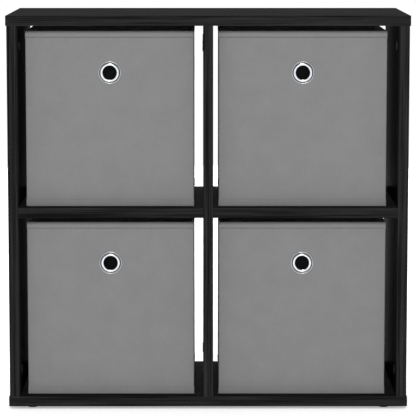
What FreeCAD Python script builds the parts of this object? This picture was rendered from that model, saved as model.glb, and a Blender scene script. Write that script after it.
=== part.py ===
import FreeCAD, Part

import os

import Sketcher

# Cube storage unit: a two by two cabinet of laminated board, open at the front and the back, with four
# fabric bins that fold flat. Millimetres, +Z up, the bins slide out towards -Y.
# The origin is the middle of the footprint, on the floor.

Vector = FreeCAD.Vector

SIZES = (
    ("board", 16.0, "thickness of every cabinet board"),
    ("cell_width", 293.0, "clear width of a cell"),
    ("cell_height", 288.0, "clear height of a cell"),
    ("cabinet_depth", 300.0, "front to back, with the edge banding"),
    ("overhang", 1.5, "how far the top and bottom reach past the side panels"),
    ("band", 0.8, "thickness of the edge banding"),
    ("band_round", 0.5, "rounding of the edge banding"),
    ("glide_height", 5.0, "height of a floor glide"),
    ("glide_diameter", 17.0, "diameter of a floor glide"),
    ("glide_round", 1.2, "rounding of a glide's lower rim"),
    ("glide_from_end", 36.0, "glide centre from the cabinet's end"),
    ("glide_from_front", 25.0, "glide centre from the cabinet's front or back"),
    ("nail_diameter", 1.9, "shank of a glide's nail"),
    ("nail_head_diameter", 4.6, "head of a glide's nail"),
    ("nail_head_height", 0.8, "thickness of the nail's head"),
    ("nail_sink", 2.0, "depth of the recess for the nail's head"),
    ("nail_bite", 12.0, "how far the nail goes into the bottom panel"),
    ("nail_play", 0.2, "how much wider the nail's and the head's holes are"),
    ("bolt_spread", 100.0, "cam bolts from the middle of the depth"),
    ("dowel_spread", 60.0, "dowels from the middle of the depth"),
    ("cam_reach", 34.0, "cam centre from the end of its board"),
    ("cam_bore", 15.0, "diameter of a cam's bore"),
    ("cam_bore_depth", 12.5, "depth of a cam's bore"),
    ("cam_diameter", 14.6, "diameter of a cam"),
    ("cam_sink", 0.5, "how far a cam lies below the board's face"),
    ("cam_height", 11.5, "height of a cam"),
    ("cam_room", 7.8, "width of the space in a cam for the bolt's head"),
    ("cam_room_length", 5.2, "length of that space along the bolt"),
    ("cam_slot", 4.6, "width of the slot in a cam for the bolt's neck"),
    ("cross_length", 8.0, "length of a cam's cross recess"),
    ("cross_width", 1.6, "width of a cam's cross recess"),
    ("cross_depth", 2.4, "depth of a cam's cross recess"),
    ("bolt_thread", 5.8, "diameter of a cam bolt's thread"),
    ("bolt_thread_hole", 6.0, "diameter of the hole that takes the thread"),
    ("bolt_bite", 11.0, "length of the thread"),
    ("bolt_bite_hole", 11.5, "depth of the hole that takes the thread"),
    ("bolt_shank", 6.0, "diameter of a cam bolt's shank"),
    ("bolt_shank_length", 26.0, "joint face to the start of the neck"),
    ("bolt_neck", 3.6, "diameter of the neck"),
    ("bolt_head", 6.8, "diameter of the head"),
    ("bolt_head_start", 32.5, "joint face to the start of the head"),
    ("bolt_head_length", 3.0, "length of the head"),
    ("bolt_end_hole", 8.0, "diameter of the hole from a board's end to a cam"),
    ("bolt_through_hole", 7.4, "diameter of the hole through the divider"),
    ("dowel_diameter", 8.0, "diameter of a dowel"),
    ("dowel_hole", 8.2, "diameter of a dowel's hole"),
    ("dowel_face_length", 10.0, "part of a dowel in a board's face"),
    ("dowel_end_length", 20.0, "part of a dowel in a board's end"),
    ("dowel_chamfer", 1.0, "chamfer at a dowel's ends"),
    ("dowel_spare", 0.5, "how much deeper a dowel's holes are"),
    ("cap_diameter", 17.2, "diameter of a cam's cover cap"),
    ("cap_height", 1.0, "how far a cap stands out"),
    ("cap_round", 0.6, "rounding of a cap's rim"),
    ("cap_spigot_diameter", 14.4, "part of a cap that plugs the cam's bore"),
    ("cap_spigot_length", 0.4, "length of that part"),
    ("bin_width", 266.0, "outside width of a bin"),
    ("bin_depth", 262.0, "outside depth of a bin"),
    ("bin_height", 279.0, "outside height of a bin"),
    ("bin_setback", 20.0, "bin's front from the cabinet's front"),
    ("bin_lift", 0.3, "running gap under a bin"),
    ("left_bins_shift", 1.2, "left bins, off the middle of the cell, towards -X"),
    ("right_bins_shift", 4.6, "right bins, off the middle of the cell, towards -X"),
    ("wall", 3.0, "thickness of a bin's wall"),
    ("fabric", 0.5, "thickness of the wall's fabric on each face"),
    ("seam_margin", 4.0, "stitched margin beside a wall's board"),
    ("hem", 12.0, "stitched hem above a wall's board"),
    ("slip", 0.05, "play of the board in its fabric pocket"),
    ("skirt", 4.5, "height of the folding walls' lower edge"),
    ("corner_gap", 0.5, "gap between a side wall and the front or back wall"),
    ("crease_gap", 0.4, "half of the gap at a side wall's fold"),
    ("floor_fabric", 0.8, "thickness of the floor fabric"),
    ("floor_border", 4.0, "height of the floor fabric's turned-up border"),
    ("base_board", 2.5, "thickness of the base board"),
    ("base_board_rest", 1.1, "height of the base board's underside in the bin"),
    ("base_board_play", 1.5, "gap between the base board and the walls"),
    ("base_board_round", 4.0, "rounding of the base board's corners"),
    ("eyelet_drop", 66.0, "eyelet's centre below the bin's rim"),
    ("eyelet_hole", 24.0, "diameter of the eyelet's hole in the wall"),
    ("eyelet_bore", 21.8, "diameter of the eyelet's finger hole"),
    ("eyelet_barrel", 23.4, "outside diameter of the eyelet's barrel"),
    ("eyelet_barrel_front", 1.2, "barrel's reach in front of the wall"),
    ("eyelet_roll_radius", 13.3, "middle of the eyelet's rolled front ring"),
    ("eyelet_roll_round", 2.1, "round of the rolled front ring"),
    ("eyelet_flange", 36.0, "diameter of the eyelet's flange"),
    ("eyelet_flange_thickness", 0.6, "thickness of the flange"),
    ("eyelet_rim_round", 0.7, "round of the bead at the flange's edge"),
    ("eyelet_lip", 27.0, "diameter of the lip clinched over the washer"),
    ("eyelet_lip_thickness", 0.5, "thickness of that lip"),
    ("washer_bore", 23.6, "bore of the eyelet's washer"),
    ("washer_diameter", 33.0, "diameter of the washer"),
    ("washer_thickness", 0.8, "thickness of the washer"),
)

CELLS = {alias: "Sizes." + alias for alias, value, meaning in SIZES}
CUT_TO_SPARE = 2.0  # how far a cutting tool runs past the face that it leaves through
PARTS = []  # the sub-parts, in the order they are made

doc = FreeCAD.newDocument("CubeStorageUnit")


def formula(text):
    """A spreadsheet expression from text with the sizes' aliases in braces."""
    return text.format_map(CELLS)


def bind(obj, **properties):
    """Binds each named property of obj to a formula."""
    for name, text in properties.items():
        obj.setExpression(name, formula(text))


def make_sheet():
    sheet = doc.addObject("Spreadsheet::Sheet", "Sizes")
    for row, (alias, value, meaning) in enumerate(SIZES, start=1):
        sheet.set(f"A{row}", meaning)
        sheet.set(f"B{row}", str(value))
        sheet.setAlias(f"B{row}", alias)
    doc.recompute()


def place(obj, x="0", y="0", z="0", rotation=FreeCAD.Rotation()):
    """Gives obj its Placement: a fixed turn, and a position from three formulas."""
    obj.Placement = FreeCAD.Placement(Vector(), rotation)
    for axis, text in zip("xyz", (x, y, z)):
        obj.setExpression(f"Placement.Base.{axis}", formula(f"({text}) * 1 mm"))
    return obj


def turn(x_axis, z_axis):
    """The rotation that takes +X to x_axis and +Z to z_axis."""
    return FreeCAD.Rotation(x_axis, z_axis.cross(x_axis), z_axis, "XZY")


def keep(obj, label):
    """Names obj as a sub-part of the object."""
    obj.Label = label
    PARTS.append(obj)
    return obj


def group(label, members):
    """One sub-part that holds several separate solids."""
    compound = doc.addObject("Part::Compound", label)
    compound.Links = members
    return keep(compound, label)


def copies(master, places):
    """Equal pieces: master and its copies, each at (x, y, z, rotation)."""
    place(master, *places[0])
    members = [master]
    for number, spot in enumerate(places[1:], start=2):
        link = doc.addObject("App::Link", f"{master.Name}_{number}")
        link.LinkedObject = master
        members.append(place(link, *spot))
    return members


# ---- Bodies, sketches and features ----


def new_sketch(body, name, plane="XY_Plane", offset="0"):
    """A sketch on one of the body's origin planes, moved along the plane's normal by a formula."""
    sketch = body.newObject("Sketcher::SketchObject", name)
    support = [item for item in body.Origin.OriginFeatures if item.Role == plane]
    sketch.AttachmentSupport = [(support[0], "")]
    sketch.MapMode = "FlatFace"
    sketch.setExpression("AttachmentOffset.Base.z", formula(f"({offset}) * 1 mm"))
    return sketch


def constrain(sketch, text, *constraint):
    """Adds a dimension to the sketch and binds it to a formula."""
    index = sketch.addConstraint(Sketcher.Constraint(*constraint))
    sketch.setExpression(f"Constraints[{index}]", formula(text))


def draw_rectangle(sketch, width, height):
    """A rectangle about the sketch's origin."""
    corners = [Vector(-1, -1, 0), Vector(1, -1, 0), Vector(1, 1, 0), Vector(-1, 1, 0)]
    ends = corners[1:] + corners[:1]
    sides = [sketch.addGeometry(Part.LineSegment(a, b)) for a, b in zip(corners, ends)]
    for side, following in zip(sides, sides[1:] + sides[:1]):
        sketch.addConstraint(Sketcher.Constraint("Coincident", side, 2, following, 1))
    for side in sides[0::2]:
        sketch.addConstraint(Sketcher.Constraint("Horizontal", side))
    for side in sides[1::2]:
        sketch.addConstraint(Sketcher.Constraint("Vertical", side))
    sketch.addConstraint(Sketcher.Constraint("Symmetric", sides[0], 1, sides[1], 2, -1, 1))
    constrain(sketch, width, "DistanceX", sides[0], 1, sides[0], 2, 2.0)
    constrain(sketch, height, "DistanceY", sides[1], 1, sides[1], 2, 2.0)


def fix_coordinate(sketch, circle, kind, sign, text):
    """Holds a circle's centre at sign times a formula along one of the sketch's axes."""
    if sign == 0:
        other_axis = -2 if kind == "DistanceX" else -1
        sketch.addConstraint(Sketcher.Constraint("PointOnObject", circle, 3, other_axis))
    elif sign > 0:
        constrain(sketch, text, kind, -1, 1, circle, 3, 1.0)
    else:
        constrain(sketch, text, kind, circle, 3, -1, 1, 1.0)


def draw_circle(sketch, diameter, across=(0, ""), along=(0, "")):
    """A circle whose centre's two coordinates are each (sign, formula)."""
    centre = Vector(across[0], along[0], 0)
    circle = sketch.addGeometry(Part.Circle(centre, Vector(0, 0, 1), 1.0))
    constrain(sketch, diameter, "Diameter", circle, 2.0)
    fix_coordinate(sketch, circle, "DistanceX", *across)
    fix_coordinate(sketch, circle, "DistanceY", *along)


def pad(body, sketch, length):
    feature = body.newObject("PartDesign::Pad", sketch.Name + "_pad")
    feature.Profile = sketch
    bind(feature, Length=length)
    doc.recompute()
    return feature


def pocket(body, sketch, depth, along_normal):
    """Cuts the sketch into the body, along its plane's normal or against it."""
    before = body.Shape.Volume
    feature = body.newObject("PartDesign::Pocket", sketch.Name + "_pocket")
    feature.Profile = sketch
    feature.Reversed = along_normal
    bind(feature, Length=depth)
    doc.recompute()
    if body.Shape.Volume >= before:
        raise RuntimeError(f"{feature.Name} cuts nothing")


def dress(body, kind, size_property, size, choose):
    """A Fillet or Chamfer on the edges of the body's last feature that choose accepts."""
    base = body.Tip
    edges = enumerate(base.Shape.Edges, start=1)
    names = [f"Edge{number}" for number, edge in edges if choose(edge)]
    if not names:
        raise RuntimeError(f"no edge of {body.Name} was chosen")
    feature = body.newObject(kind, f"{body.Name}_{size_property.lower()}")
    feature.Base = (base, names)
    bind(feature, **{size_property: size})
    doc.recompute()


def plate(name, width, depth, height):
    """A body with a rectangular base about its origin, and height along +Z."""
    body = doc.addObject("PartDesign::Body", name)
    outline = new_sketch(body, name + "_outline")
    draw_rectangle(outline, width, depth)
    pad(body, outline, height)
    return body


def disc(name, diameter, height, base="0"):
    """A round body that starts at base and has height along +Z."""
    body = doc.addObject("PartDesign::Body", name)
    outline = new_sketch(body, name + "_outline", offset=base)
    draw_circle(outline, diameter)
    pad(body, outline, height)
    return body


def drill(body, name, plane, offset, diameter, depth, along_normal, centres):
    """Equal holes from one plane of the body, each centre two (sign, formula) coordinates."""
    sketch = new_sketch(body, name, plane, offset)
    for across, along in centres:
        draw_circle(sketch, diameter, across, along)
    pocket(body, sketch, depth, along_normal)


def cylinder(name, diameter, start, length):
    """A Part cylinder on the Z axis."""
    solid = doc.addObject("Part::Cylinder", name)
    bind(solid, Radius=f"({diameter}) / 2", Height=length)
    return place(solid, z=start)


def box(name, length, width, height, x="0", y="0", z="0"):
    solid = doc.addObject("Part::Box", name)
    bind(solid, Length=length, Width=width, Height=height)
    return place(solid, x, y, z)


def fuse(name, *solids):
    fused = doc.addObject("Part::MultiFuse", name)
    fused.Shapes = list(solids)
    return fused


def cut(name, base, tool):
    result = doc.addObject("Part::Cut", name)
    result.Base = base
    result.Tool = tool
    return result


# ---- Cabinet panels ----

WIDTH = "(2 * {cell_width} + 3 * {board} + 2 * {overhang})"
CORE_DEPTH = "({cabinet_depth} - 2 * {band})"
UPRIGHT_HEIGHT = "(2 * {cell_height} + {board})"
BOTTOM_FACE = "({glide_height} + {board})"  # upper face of the bottom panel
TOP_FACE = f"({BOTTOM_FACE} + {UPRIGHT_HEIGHT})"  # lower face of the top panel
SHELF_FACE = f"({BOTTOM_FACE} + {{cell_height}})"  # lower face of the shelves
SIDE_X = "({cell_width} + {board})"  # middle of a side panel
SHELF_X = "(({cell_width} + {board}) / 2)"  # middle of a shelf
BOLT_Y = "{bolt_spread}"
DOWEL_Y = "{dowel_spread}"
BOTH_SIDES = (-1, 1)

# Each upright: name, the sign of its place across the cabinet, and the face that its cams open to.
UPRIGHTS = (("left_side_panel", -1, 1), ("center_divider", 0, -1), ("right_side_panel", 1, -1))
SHELVES = (("left_shelf", -1), ("right_shelf", 1))


def depth_pairs(text, across):
    """Centres at both depths -text and +text, for each (sign, formula) of across."""
    return [(spot, (sign, text)) for spot in across for sign in BOTH_SIDES]


def make_long_panel(name, height, face_is_top):
    """The top or bottom panel, drilled in the face that meets the uprights."""
    panel = plate(name, f"{WIDTH} - 2 * {{band}}", CORE_DEPTH, "{board}")
    face = "{board}" if face_is_top else "0"
    uprights = [(sign, SIDE_X) for upright, sign, inner in UPRIGHTS]
    into = not face_is_top
    drill(panel, name + "_bolt_holes", "XY_Plane", face, "{bolt_thread_hole}", "{bolt_bite_hole}", into,
          depth_pairs(BOLT_Y, uprights))
    drill(panel, name + "_dowel_holes", "XY_Plane", face, "{dowel_hole}",
          "{dowel_face_length} + {dowel_spare}", into, depth_pairs(DOWEL_Y, uprights))
    place(panel, z=height)
    return keep(panel, name)


def drill_nail_holes(panel):
    corners = [((sign, GLIDE_X), spot) for sign in BOTH_SIDES for spot in ((-1, GLIDE_Y), (1, GLIDE_Y))]
    drill(panel, "nail_holes", "XY_Plane", "0", "{nail_diameter} + {nail_play}", "{nail_bite} + {band}",
          True, corners)


def make_upright(name, sign, inner):
    """A side panel or the divider: holes in both ends, cam bores in its inner face."""
    panel = plate(name, "{board}", CORE_DEPTH, UPRIGHT_HEIGHT)
    for end, height, into in (("lower", "0", True), ("upper", UPRIGHT_HEIGHT, False)):
        drill(panel, f"{name}_{end}_bolt_holes", "XY_Plane", height, "{bolt_end_hole}", "{cam_reach}", into,
              [((0, ""), (side, BOLT_Y)) for side in BOTH_SIDES])
        drill(panel, f"{name}_{end}_dowel_holes", "XY_Plane", height, "{dowel_hole}",
              "{dowel_end_length} + {dowel_spare}", into,
              [((0, ""), (side, DOWEL_Y)) for side in BOTH_SIDES])
    inner_face = f"{inner} * {{board}} / 2"
    cam_heights = ("{cam_reach}", f"{UPRIGHT_HEIGHT} - {{cam_reach}}")
    drill(panel, name + "_cam_bores", "YZ_Plane", inner_face, "{cam_bore}", "{cam_bore_depth}", inner < 0,
          [((side, BOLT_Y), (1, height)) for side in BOTH_SIDES for height in cam_heights])
    middle = f"{UPRIGHT_HEIGHT} / 2"
    bolt_spots = [((side, BOLT_Y), (1, middle)) for side in BOTH_SIDES]
    if sign == 0:
        drill(panel, name + "_through_holes", "YZ_Plane", inner_face, "{bolt_through_hole}", "{board}",
              inner < 0, bolt_spots)
    else:
        drill(panel, name + "_shelf_bolt_holes", "YZ_Plane", inner_face, "{bolt_thread_hole}",
              "{bolt_bite_hole}", inner < 0, bolt_spots)
        drill(panel, name + "_shelf_dowel_holes", "YZ_Plane", inner_face, "{dowel_hole}",
              "{dowel_face_length} + {dowel_spare}", inner < 0,
              [((side, DOWEL_Y), (1, middle)) for side in BOTH_SIDES])
    place(panel, x=f"{sign} * {SIDE_X}", z=BOTTOM_FACE)
    return keep(panel, name)


def make_shelf(name, outer):
    """A shelf: bolt holes in both ends, dowel holes in its outer end, cam bores underneath."""
    panel = plate(name, "{cell_width}", CORE_DEPTH, "{board}")
    middle = "{board} / 2"
    for end in BOTH_SIDES:
        drill(panel, f"{name}_bolt_holes_{end + 2}", "YZ_Plane", f"{end} * {{cell_width}} / 2",
              "{bolt_end_hole}", "{cam_reach}", end < 0, [((side, BOLT_Y), (1, middle)) for side in BOTH_SIDES])
    drill(panel, name + "_dowel_holes", "YZ_Plane", f"{outer} * {{cell_width}} / 2", "{dowel_hole}",
          "{dowel_end_length} + {dowel_spare}", outer < 0,
          [((side, DOWEL_Y), (1, middle)) for side in BOTH_SIDES])
    cam_x = "{cell_width} / 2 - {cam_reach}"
    drill(panel, name + "_cam_bores", "XY_Plane", "0", "{cam_bore}", "{cam_bore_depth}", True,
          depth_pairs(BOLT_Y, [(sign, cam_x) for sign in BOTH_SIDES]))
    place(panel, x=f"{outer} * {SHELF_X}", z=SHELF_FACE)
    return keep(panel, name)


# ---- Edge banding ----

UP = FreeCAD.Rotation(Vector(0, 1, 0), -90)  # turns a strip's length from X to Z
HALF_TURN = FreeCAD.Rotation(Vector(0, 0, 1), 180)
QUARTER_TURN = FreeCAD.Rotation(Vector(0, 0, 1), 90)


def make_strip(name, length):
    """A strip of edge banding along X: its outer face looks towards -Y and is rounded at both arrises."""
    strip = plate(name, length, "{band}", "{board}")

    def is_outer_arris(edge):
        ends = [vertex.Point for vertex in edge.Vertexes]
        along_x = abs(ends[0].x - ends[1].x) > abs(ends[0].z - ends[1].z) + abs(ends[0].y - ends[1].y)
        return along_x and ends[0].y < 0

    dress(strip, "PartDesign::Fillet", "Radius", "{band_round}", is_outer_arris)
    return strip


def band_long_panel(panel, height):
    """Strips on all four edges of the top or bottom panel."""
    name = panel.Label + "_edge_banding"
    front_y = "({cabinet_depth} - {band}) / 2"
    end_x = f"({WIDTH} - {{band}}) / 2"
    strips = [
        place(make_strip(name + "_front", WIDTH), y=f"-{front_y}", z=height),
        place(make_strip(name + "_back", WIDTH), y=front_y, z=height, rotation=HALF_TURN),
        place(make_strip(name + "_left", CORE_DEPTH), x=f"-{end_x}", z=height,
              rotation=QUARTER_TURN.inverted()),
        place(make_strip(name + "_right", CORE_DEPTH), x=end_x, z=height, rotation=QUARTER_TURN),
    ]
    group(name, strips)


def band_short_panel(panel, length, x, z, rotation):
    """Strips on the front and back edges of an upright or a shelf."""
    name = panel.Label + "_edge_banding"
    front_y = "({cabinet_depth} - {band}) / 2"
    strips = [
        place(make_strip(name + "_front", length), x, f"-{front_y}", z, rotation),
        place(make_strip(name + "_back", length), x, front_y, z, rotation.multiply(HALF_TURN)),
    ]
    group(name, strips)


def make_cabinet_panels():
    bottom = make_long_panel("bottom_panel", "{glide_height}", True)
    drill_nail_holes(bottom)
    band_long_panel(bottom, "{glide_height}")
    top = make_long_panel("top_panel", TOP_FACE, False)
    band_long_panel(top, TOP_FACE)
    for name, sign, inner in UPRIGHTS:
        upright = make_upright(name, sign, inner)
        edge_x = f"{sign} * {SIDE_X} + {{board}} / 2"
        band_short_panel(upright, UPRIGHT_HEIGHT, edge_x, f"{BOTTOM_FACE} + {UPRIGHT_HEIGHT} / 2", UP)
    for name, outer in SHELVES:
        shelf = make_shelf(name, outer)
        band_short_panel(shelf, "{cell_width}", f"{outer} * {SHELF_X}", SHELF_FACE, FreeCAD.Rotation())


# ---- Fasteners and glides ----

GLIDE_X = f"({WIDTH} / 2 - {{glide_from_end}})"
GLIDE_Y = "({cabinet_depth} / 2 - {glide_from_front})"
X_AXIS = Vector(1, 0, 0)
Z_AXIS = Vector(0, 0, 1)
FLIP = FreeCAD.Rotation(X_AXIS, 180)  # points a fastener down
ALONG_X = FreeCAD.Rotation(Vector(0, 1, 0), 90)  # points a fastener along +X
AGAINST_X = FreeCAD.Rotation(Vector(0, 1, 0), -90)  # points a fastener along -X


def upright_joints():
    """Each place where an upright meets the top or bottom: x, z, the way into the upright, its inner face."""
    for name, sign, inner in UPRIGHTS:
        for height, way in ((BOTTOM_FACE, 1), (TOP_FACE, -1)):
            yield f"{sign} * {SIDE_X}", height, way, inner


def upright_fasteners(spread):
    """Places of the bolts or dowels between the uprights and the top and bottom."""
    return [(x, f"{side} * {spread}", z, FreeCAD.Rotation() if way > 0 else FLIP)
            for x, z, way, inner in upright_joints() for side in BOTH_SIDES]


def shelf_end_fasteners(spread):
    """Places of the bolts or dowels between the side panels and the shelves."""
    end = "({cell_width} + {board} / 2)"
    middle = f"{SHELF_FACE} + {{board}} / 2"
    return [(f"{outer} * {end}", f"{side} * {spread}", middle, ALONG_X if outer < 0 else AGAINST_X)
            for name, outer in SHELVES for side in BOTH_SIDES]


def cam_places(lift):
    """Places of the cams, or of their caps: lift moves each one out towards its board's open face."""
    found = []
    for x, z, way, inner in upright_joints():
        rotation = turn(Z_AXIS * way, X_AXIS * inner)
        for side in BOTH_SIDES:
            spot = (f"{x} + {inner} * ({lift})", f"{side} * {BOLT_Y}", f"{z} + {way} * {{cam_reach}}", rotation)
            found.append(spot)
    for name, outer in SHELVES:
        for end in ("{board} / 2", "{board} / 2 + {cell_width}"):
            way = 1 if end == "{board} / 2" else -1
            rotation = turn(X_AXIS * outer * way, Z_AXIS * -1)
            for side in BOTH_SIDES:
                found.append((f"{outer} * ({end} + {way} * {{cam_reach}})", f"{side} * {BOLT_Y}",
                              f"{SHELF_FACE} + {{board}} / 2 - ({lift})", rotation))
    return found


def make_cam_bolt():
    """Its thread is below the joint's face, and its shank, neck and head are above."""
    head_end = "{bolt_head_start} + {bolt_head_length}"
    return fuse(
        "cam_bolt",
        cylinder("cam_bolt_thread", "{bolt_thread}", "-{bolt_bite}", "{bolt_bite}"),
        cylinder("cam_bolt_shank", "{bolt_shank}", "0", "{bolt_shank_length}"),
        cylinder("cam_bolt_neck", "{bolt_neck}", "0", head_end),
        cylinder("cam_bolt_head", "{bolt_head}", "{bolt_head_start}", "{bolt_head_length}"),
    )


def make_double_cam_bolt():
    """A bolt through the divider with a head at each end, along Z about its middle."""
    shank = "({board} / 2 + {bolt_shank_length})"
    reach = "({board} / 2 + {bolt_head_start} + {bolt_head_length})"
    return fuse(
        "double_cam_bolt",
        cylinder("double_bolt_shank", "{bolt_shank}", f"-{shank}", f"2 * {shank}"),
        cylinder("double_bolt_neck", "{bolt_neck}", f"-{reach}", f"2 * {reach}"),
        cylinder("double_bolt_left_head", "{bolt_head}", f"-{reach}", "{bolt_head_length}"),
        cylinder("double_bolt_right_head", "{bolt_head}", f"{reach} - {{bolt_head_length}}",
                 "{bolt_head_length}"),
    )


def make_cam():
    """A cam about the bolt's axis: +Z is its open face and the bolt comes in along +X."""
    top = "({board} / 2 - {cam_sink})"
    base = cylinder("cam_disc", "{cam_diameter}", f"{top} - {{cam_height}}", "{cam_height}")
    tools = fuse(
        "cam_spaces",
        box("cam_head_room", "{cam_room_length}", "{cam_room}", "{cam_room}",
            "-{cam_room_length} / 2", "-{cam_room} / 2", "-{cam_room} / 2"),
        box("cam_neck_slot", "{cam_diameter}", "{cam_slot}", "{cam_slot}",
            "-{cam_diameter}", "-{cam_slot} / 2", "-{cam_slot} / 2"),
        box("cam_cross_x", "{cross_length}", "{cross_width}", f"{{cross_depth}} + {CUT_TO_SPARE}",
            "-{cross_length} / 2", "-{cross_width} / 2", f"{top} - {{cross_depth}}"),
        box("cam_cross_y", "{cross_width}", "{cross_length}", f"{{cross_depth}} + {CUT_TO_SPARE}",
            "-{cross_width} / 2", "-{cross_length} / 2", f"{top} - {{cross_depth}}"),
    )
    return cut("cam_lock", base, tools)


def make_dowel():
    length = "{dowel_face_length} + {dowel_end_length}"
    dowel = disc("wooden_dowel", "{dowel_diameter}", length, "-{dowel_face_length}")
    dress(dowel, "PartDesign::Chamfer", "Size", "{dowel_chamfer}", lambda edge: edge.isClosed())
    return dowel


def make_cap():
    """A cover cap: its disc lies on the board's face and its spigot plugs the cam's bore."""
    cap = disc("cover_cap", "{cap_diameter}", "{cap_height}")

    def is_outer_rim(edge):
        return edge.isClosed() and edge.CenterOfMass.z > 0

    dress(cap, "PartDesign::Fillet", "Radius", "{cap_round}", is_outer_rim)
    spigot = new_sketch(cap, "cover_cap_spigot", offset="-{cap_spigot_length}")
    draw_circle(spigot, "{cap_spigot_diameter}")
    pad(cap, spigot, "{cap_spigot_length}")
    return cap


def make_glide():
    """A floor glide with a recessed hole for its nail."""
    glide = disc("floor_glide", "{glide_diameter}", "{glide_height}")

    def is_lower_rim(edge):
        return edge.isClosed() and edge.CenterOfMass.z == 0

    dress(glide, "PartDesign::Fillet", "Radius", "{glide_round}", is_lower_rim)
    centre = [((0, ""), (0, ""))]
    drill(glide, "glide_nail_hole", "XY_Plane", "0", "{nail_diameter} + {nail_play}", "{glide_height}", True,
          centre)
    drill(glide, "glide_nail_recess", "XY_Plane", "0", "{nail_head_diameter} + {nail_play}", "{nail_sink}",
          True, centre)
    return glide


def make_nail():
    shank = "{glide_height} - {nail_sink} + {nail_bite}"
    return fuse(
        "glide_nail",
        cylinder("glide_nail_shank", "{nail_diameter}", "{nail_sink}", shank),
        cylinder("glide_nail_head", "{nail_head_diameter}", "{nail_sink} - {nail_head_height}",
                 "{nail_head_height}"),
    )


def make_fasteners():
    in_divider = [("0", f"{side} * {BOLT_Y}", f"{SHELF_FACE} + {{board}} / 2", ALONG_X)
                  for side in BOTH_SIDES]
    bolts = copies(make_cam_bolt(), upright_fasteners(BOLT_Y) + shelf_end_fasteners(BOLT_Y))
    group("cam_bolts", bolts + copies(make_double_cam_bolt(), in_divider))
    group("cam_locks", copies(make_cam(), cam_places("0")))
    group("cam_cover_caps", copies(make_cap(), cam_places("{board} / 2")))
    group("wooden_dowels", copies(make_dowel(), upright_fasteners(DOWEL_Y) + shelf_end_fasteners(DOWEL_Y)))
    corners = [(f"{x} * {GLIDE_X}", f"{y} * {GLIDE_Y}", "0", FreeCAD.Rotation())
               for x in BOTH_SIDES for y in BOTH_SIDES]
    group("floor_glides", copies(make_glide(), corners))
    group("glide_nails", copies(make_nail(), corners))


# ---- Fabric bins ----

BINS = (("upper_left", -1, 1), ("upper_right", 1, 1), ("lower_left", -1, 0), ("lower_right", 1, 0))
SHIFTS = {-1: "{left_bins_shift}", 1: "{right_bins_shift}"}
FRONT_Y = "(-{cabinet_depth} / 2 + {bin_setback})"
HALF_WIDTH = "({bin_width} / 2)"
FOLDING_HEIGHT = "({bin_height} - {skirt})"
HALF_SIDE = "({bin_depth} / 2 - {wall} - {corner_gap} - {crease_gap})"


class Bin:
    """One bin: where its own origin, the middle of its front face's lower edge, lies in the cabinet."""

    def __init__(self, name, column, row):
        self.name = name
        self.x = f"({column} * {SHELF_X} - {SHIFTS[column]})"
        self.z = f"({BOTTOM_FACE} + {row} * ({{cell_height}} + {{board}}) + {{bin_lift}})"

    def put(self, obj, label, x, y, z):
        """Makes obj this bin's sub-part, at a place counted from the bin's own origin."""
        place(obj, f"{self.x} + {x}", f"{FRONT_Y} + {y}", f"{self.z} + {z}")
        return keep(obj, f"{self.name}_bin_{label}")


def pocket_wall(name, length, width, height, hole=None):
    """A fabric pocket with a stiff board in it. Its longer side is hemmed; hole cuts through both."""
    across = length == "{wall}"
    side_x = "{fabric}" if across else "{seam_margin}"
    side_y = "{seam_margin}" if across else "{fabric}"
    room_length = f"({length} - 2 * {side_x})"
    room_width = f"({width} - 2 * {side_y})"
    room_height = f"({height} - {{hem}})"
    room = box(name + "_room", room_length, room_width, room_height, side_x, side_y)
    sleeve = cut(name + "_fabric", box(name + "_outside", length, width, height), room)
    stiffener = box(name + "_stiffener", f"{room_length} - 2 * {{slip}}", f"{room_width} - 2 * {{slip}}",
                    f"{room_height} - {{slip}}", f"{side_x} + {{slip}}", f"{side_y} + {{slip}}")
    if hole:
        sleeve = cut(name + "_fabric_with_hole", sleeve, hole(name + "_fabric_punch"))
        stiffener = cut(name + "_stiffener_with_hole", stiffener, hole(name + "_stiffener_punch"))
    wall = doc.addObject("Part::Compound", name)
    wall.Links = [sleeve, stiffener]
    return wall


def eyelet_punch(name):
    """The eyelet's hole through the front wall, as a cylinder along Y."""
    punch = cylinder(name, "{eyelet_hole}", "0", f"{{wall}} + 2 * {CUT_TO_SPARE}")
    return place(punch, HALF_WIDTH, f"-{CUT_TO_SPARE}", "{bin_height} - {eyelet_drop}", TOWARDS_BACK)


TOWARDS_BACK = FreeCAD.Rotation(X_AXIS, -90)  # turns +Z to +Y


def make_eyelet(name):
    """The eyelet along +Z: the fabric's front face is at 0, its rolled front is below and its lip above."""
    torus = doc.addObject("Part::Torus", name + "_full_roll")
    bind(torus, Radius1="{eyelet_roll_radius}", Radius2="{eyelet_roll_round}")
    rim = doc.addObject("Part::Torus", name + "_full_bead")
    bind(rim, Radius1="{eyelet_flange} / 2 - {eyelet_rim_round}", Radius2="{eyelet_rim_round}")
    front_space = cylinder(name + "_front_space", "{eyelet_flange} + 2", "-{eyelet_roll_round} - 1",
                           "{eyelet_roll_round} + 1")
    rounds = doc.addObject("Part::Common", name + "_front_rounds")
    rounds.Base = fuse(name + "_rounds", torus, rim)
    rounds.Tool = front_space
    through = "({wall} + {washer_thickness} + {eyelet_lip_thickness})"
    outside = fuse(
        name + "_outside",
        rounds,
        cylinder(name + "_flange", "{eyelet_flange} - {eyelet_rim_round}", "-{eyelet_flange_thickness}",
                 "{eyelet_flange_thickness}"),
        cylinder(name + "_barrel", "{eyelet_barrel}", "-{eyelet_barrel_front}",
                 f"{{eyelet_barrel_front}} + {through}"),
        cylinder(name + "_lip", "{eyelet_lip}", f"{through} - {{eyelet_lip_thickness}}",
                 "{eyelet_lip_thickness}"),
    )
    bore = cylinder(name + "_bore", "{eyelet_bore}", "-{eyelet_roll_round} - 1",
                    f"{{eyelet_roll_round}} + 2 + {through}")
    return cut(name, outside, bore)


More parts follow.
